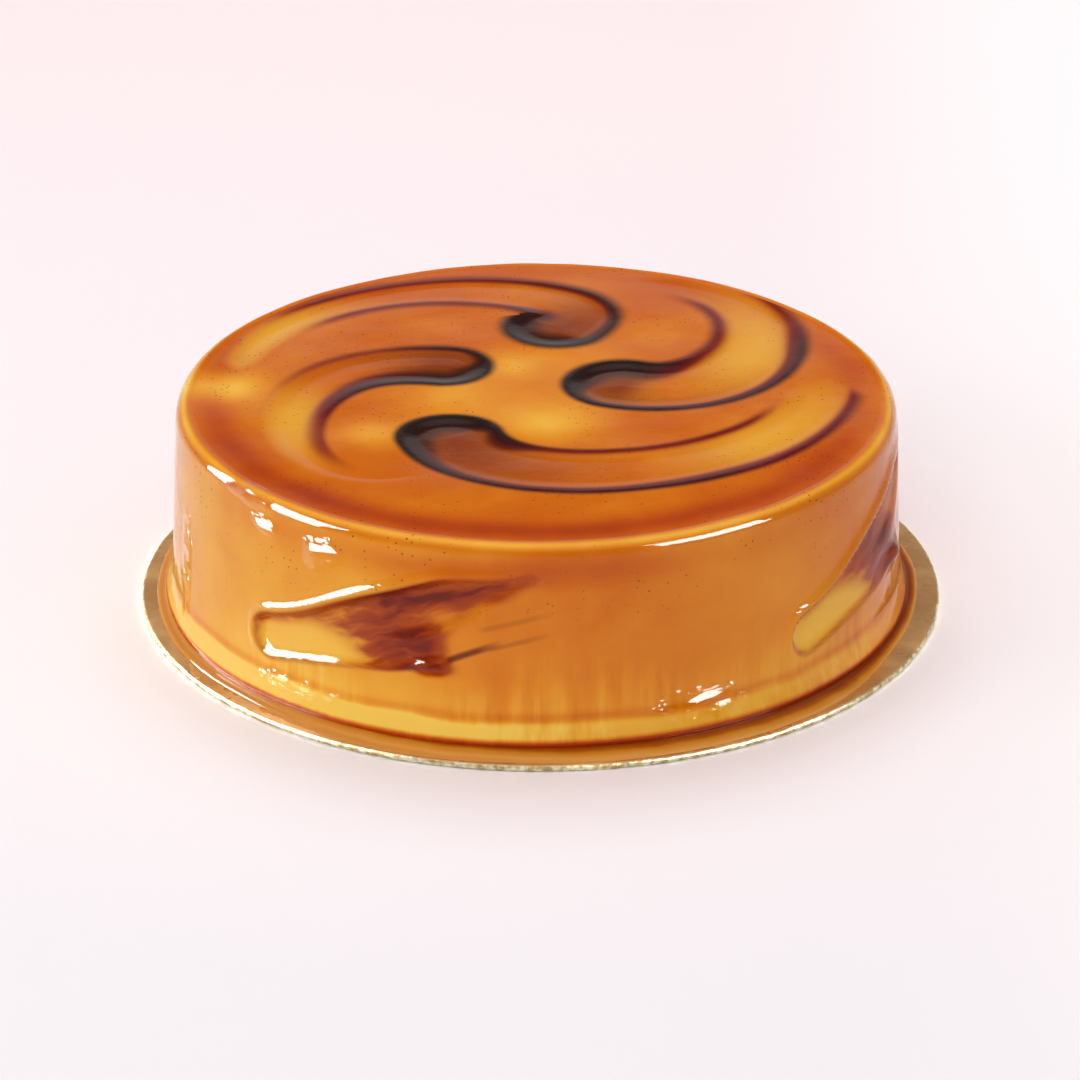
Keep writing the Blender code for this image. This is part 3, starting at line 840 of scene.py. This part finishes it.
def lay_marks(nodes, below):
    """The side marks, with wisps along them and creases off their drops."""
    look = nodes.field("mark").outputs["Vector"]
    place = nodes.field("mark_place").outputs["Vector"]
    edge, gel, glow = nodes.axes(look)
    warp = nodes.swing(nodes.noise(place, 90.0), 0.004)
    warped = nodes.vector("ADD", place, warp)
    wisps = nodes.noise(nodes.stretch(warped, (1.0, 5.0, 1.0), -0.33), 75.0, detail=4.0)
    inner = nodes.smooth(edge, 0.5, 3.0)
    gel = nodes.add(gel, nodes.times(nodes.swing(wisps, 0.55), inner, nodes.smooth(gel, 0.05, 0.4)))
    look = nodes.join(edge, gel, glow)

    def gel_colour(value):
        return nodes.ramp(value, *MARK_STOPS)

    colour = lay(nodes, below, look, gel_colour, BROWN_FLOOR, MARK_YELLOW_FLOOR)
    for crease in CREASES:
        colour = nodes.mix(along_stroke(nodes, place, crease), colour, CREASE_COLOUR)
    return colour


def cake_material():
    """Caramel glaze, thin and yellow to thick and orange, with dark gel in the swirls and marks.
    Its tone also carries painted light on the left and painted shade in the crease at the base.
    """
    nodes = Nodes("caramel_mirror_glaze")
    height = nodes.axes(nodes.place())[2]
    low_wall = nodes.smooth(height, 14.0 * MM, 34.0 * MM, 1.0, 0.0)
    patchy = nodes.smooth(nodes.noise(nodes.place(), 34.0), 0.35, 0.65)
    fine = nodes.noise(nodes.place((1.0, 1.0, 0.05)), 520.0)
    broad = nodes.noise(nodes.place((1.0, 1.0, 0.08)), 170.0, detail=1.0)
    streaks = nodes.times(nodes.add(nodes.swing(fine, 0.5), nodes.swing(broad, 0.5)), low_wall, patchy)
    mottle = nodes.swing(nodes.noise(nodes.place(), 60.0, detail=4.0), 0.13)

    tone = nodes.add(nodes.field("tone").outputs["Fac"], mottle, nodes.times(streaks, 0.34))
    colour = nodes.ramp(tone, *GLAZE_STOPS)
    smoky = nodes.field("smoky").outputs["Fac"]

    def gel_colour(value):
        return nodes.mix(smoky, nodes.ramp(value, *LINE_STOPS), nodes.ramp(value, *SMOKY_STOPS))

    for number in range(len(SWIRLS)):
        look = nodes.field(f"swirl_{number}").outputs["Vector"]
        colour = lay(nodes, colour, look, gel_colour, BROWN_FLOOR, YELLOW_FLOOR)
    colour = lay_marks(nodes, colour)

    distance, own = nodes.cells(nodes.place(), 620.0)
    picked = nodes.smooth(nodes.axes(own)[0], 0.55, 0.60)
    speckled = nodes.smooth(height, 34.0 * MM, 46.0 * MM)
    clusters = nodes.smooth(nodes.noise(nodes.place(), 45.0), 0.40, 0.6)
    dots = nodes.smooth(distance, 0.13, 0.20, 0.85, 0.0)
    specks = nodes.times(dots, picked, speckled, clusters)
    colour = nodes.mix(specks, colour, SPECK_COLOUR)
    lump, _ = nodes.cells(nodes.place((0.45, 0.45, 1.0)), 175.0)
    glaze_finish(nodes, colour, streaks, nodes.times(nodes.field("lumpy").outputs["Fac"], lump, 38.0))
    return nodes.material


def pool_material():
    """The same glaze, thick and dark against the cake's foot and thin over the gold foil further out.
    The dark at the foot is partly painted shade in the crease there.
    """
    nodes = Nodes("caramel_pool_glaze")
    across = nodes.field("across").outputs["Fac"]
    leftward = nodes.times(nodes.axes(nodes.place())[0], -4.0)
    mottle = nodes.swing(nodes.noise(nodes.place(), 90.0), 0.16)
    # Darkest at the cake's foot: thick glaze and painted shade in the crease.
    colour = nodes.ramp(
        nodes.add(across, mottle, leftward),
        (0.0, glazed(136, 64, 18)),
        (0.25, glazed(172, 94, 28)),
        (0.42, glazed(206, 138, 54)),
        (0.8, glazed(224, 164, 88)),
        (1.0, glazed(214, 148, 76)),
    )
    glaze_finish(nodes, colour, nodes.swing(nodes.noise(nodes.place(), 150.0), 0.5))
    return nodes.material


def foil_material():
    """Thin gold foil over card: satin, faintly rippled, with small creases, and a pale edge that is
    painted highlight, glints on its crinkles.
    """
    nodes = Nodes("gold_card_foil")
    crease, _ = nodes.cells(nodes.place(), 420.0)
    ripple = nodes.noise(nodes.place(), 260.0, detail=3.0)
    worn = nodes.noise(nodes.place(), 70.0, detail=3.0)
    face = nodes.ramp(worn, (0.3, linear(198, 150, 88)), (0.7, linear(214, 172, 112)))
    # The pale, near-white edge is painted highlight: glints of light on the crinkled foil.
    glint_noise = nodes.noise(nodes.place(), 520.0)
    rim = nodes.ramp(glint_noise, (0.38, linear(180, 152, 98)), (0.62, linear(232, 230, 200)))
    at_edge = nodes.smooth(nodes.axes(nodes.place())[2], 0.80 * CARD_TOP_Z, 0.94 * CARD_TOP_Z, 1.0, 0.0)
    nodes.set(
        Base_Color=nodes.mix(at_edge, face, rim),
        Metallic=0.55,
        Roughness=nodes.smooth(worn, 0.35, 0.7, 0.26, 0.42),
        Normal=nodes.bump(nodes.add(ripple, nodes.times(crease, 0.6)), 0.12 * MM),
    )
    return nodes.material


def board_material():
    """Grey-white pulp board with short fibres."""
    nodes = Nodes("pulp_board")
    fibres = nodes.noise(nodes.place((1.0, 3.0, 1.0)), 900.0, detail=4.0)
    colour = nodes.ramp(fibres, (0.3, linear(196, 190, 180)), (0.7, linear(222, 218, 210)))
    nodes.set(Base_Color=colour, Roughness=0.85, Normal=nodes.bump(fibres, 0.05 * MM))
    return nodes.material


# ---------------------------------------------------------------- room

FLOOR_HALF_SIDE = 3.0

# How bright the room is by the sine of the height above the horizon: a pale horizon, dim walls and a pale
# ceiling.
ROOM_LEVELS = ((0.0, 0.50), (0.36, 0.46), (0.43, 0.13), (0.56, 0.15), (0.72, 0.70), (0.84, 0.90))

CAMERA_PLACE = Vector((0.0, -1.2848, 0.6169))
CAMERA_PITCH = math.radians(25.102)
CAMERA_LENS = 165.3


def aim(item, place, target):
    """Puts a lamp or camera at a place, pointing at a target."""
    item.location = place
    item.rotation_euler = (Vector(target) - Vector(place)).to_track_quat("-Z", "Y").to_euler()
    bpy.context.scene.collection.objects.link(item)


def lamp(name, place, size, power, colour):
    """A rectangular area lamp that points at the cake."""
    light = bpy.data.lights.new(name, "AREA")
    light.shape = "RECTANGLE"
    light.size, light.size_y = size
    light.energy = power
    light.color = colour
    box = bpy.data.objects.new(name, light)
    box.visible_camera = False
    aim(box, place, (0.0, 0.0, 0.04))
    return box


def softbox(name, place, size, power, colour=(1.0, 0.985, 0.97)):
    """A lamp that lights the glaze without a mirror image in it."""
    lamp(name, place, size, power, colour).visible_glossy = False


def window(name, place, size, power):
    """A lamp that only shows as a mirror image in glossy things."""
    lamp(name, place, size, power, (1.0, 0.985, 0.985)).visible_diffuse = False


def build_floor():
    """A matt, pale floor, a little cooler in front and pinker behind, and painted paler to the right,
    painted light that makes up for the dimmer lamp light there.
    """
    nodes = Nodes("pale_floor")
    backward = nodes.smooth(nodes.axes(nodes.place())[1], -0.4, 0.9)
    # Paler to the right: painted light that makes up for the weaker lamp light there.
    paler_right_painted_light = nodes.smooth(nodes.axes(nodes.place())[0], 0.06, 0.20)
    colour = nodes.mix(backward, (0.87, 0.86, 0.91, 1.0), (0.90, 0.77, 0.80, 1.0))
    colour = nodes.mix(paler_right_painted_light, colour, (0.95, 0.92, 0.95, 1.0))
    grain = nodes.noise(nodes.place(), 400.0, detail=0.0)
    nodes.set(Base_Color=colour, Roughness=0.9, Specular_IOR_Level=0.1, Normal=nodes.bump(grain, 0.02 * MM))
    mesh = bpy.data.meshes.new("floor")
    side = FLOOR_HALF_SIDE
    corners = [(-side, -side, 0.0), (side, -side, 0.0), (side, side, 0.0), (-side, side, 0.0)]
    mesh.from_pydata(corners, [], [[0, 1, 2, 3]])
    mesh.materials.append(nodes.material)
    floor = bpy.data.objects.new("floor", mesh)
    bpy.context.scene.collection.objects.link(floor)


def build_world():
    """The room that the glaze mirrors."""
    world = bpy.data.worlds.new("room")
    bpy.context.scene.world = world
    world.use_nodes = True
    tree = world.node_tree
    where = tree.nodes.new("ShaderNodeTexCoord")
    split = tree.nodes.new("ShaderNodeSeparateXYZ")
    shade = tree.nodes.new("ShaderNodeValToRGB")
    marks = shade.color_ramp.elements
    while len(marks) < len(ROOM_LEVELS):
        marks.new(0.5)
    for mark, (sine, level) in zip(marks, ROOM_LEVELS):
        mark.position = sine
        mark.color = (level, 0.94 * level, 0.91 * level, 1.0)
    tree.links.new(where.outputs["Generated"], split.inputs[0])
    tree.links.new(split.outputs[2], shade.inputs[0])
    tree.links.new(shade.outputs[0], tree.nodes["Background"].inputs["Color"])


def build_room():
    """A pale floor, soft light from above and in front, and a window to each side."""
    build_floor()
    build_world()
    softbox("overhead", (0.0, 0.62, 1.3), (0.9, 0.9), 8.0)
    softbox("front_fill", (-0.4, -2.2, 1.6), (1.6, 1.2), 16.0)
    softbox("left_fill", (-1.6, -0.7, 0.8), (0.8, 0.8), 5.0)
    window("left_window", (-1.22, 0.04, 0.50), (1.26, 0.80), 138.0)
    window("right_window", (0.98, -0.66, 0.60), (0.85, 0.50), 55.0)


def build_camera():
    """From in front, looking down on the cake."""
    lens = bpy.data.cameras.new("view")
    lens.lens = CAMERA_LENS
    camera = bpy.data.objects.new("view", lens)
    ahead = Vector((-0.00012, math.cos(CAMERA_PITCH), -math.sin(CAMERA_PITCH)))
    aim(camera, CAMERA_PLACE, CAMERA_PLACE + ahead)
    bpy.context.scene.camera = camera


build_cake(cake_material())
build_pool(pool_material())
build_card(foil_material(), board_material())
build_room()
build_camera()
bpy.context.scene.view_settings.view_transform = "Standard"
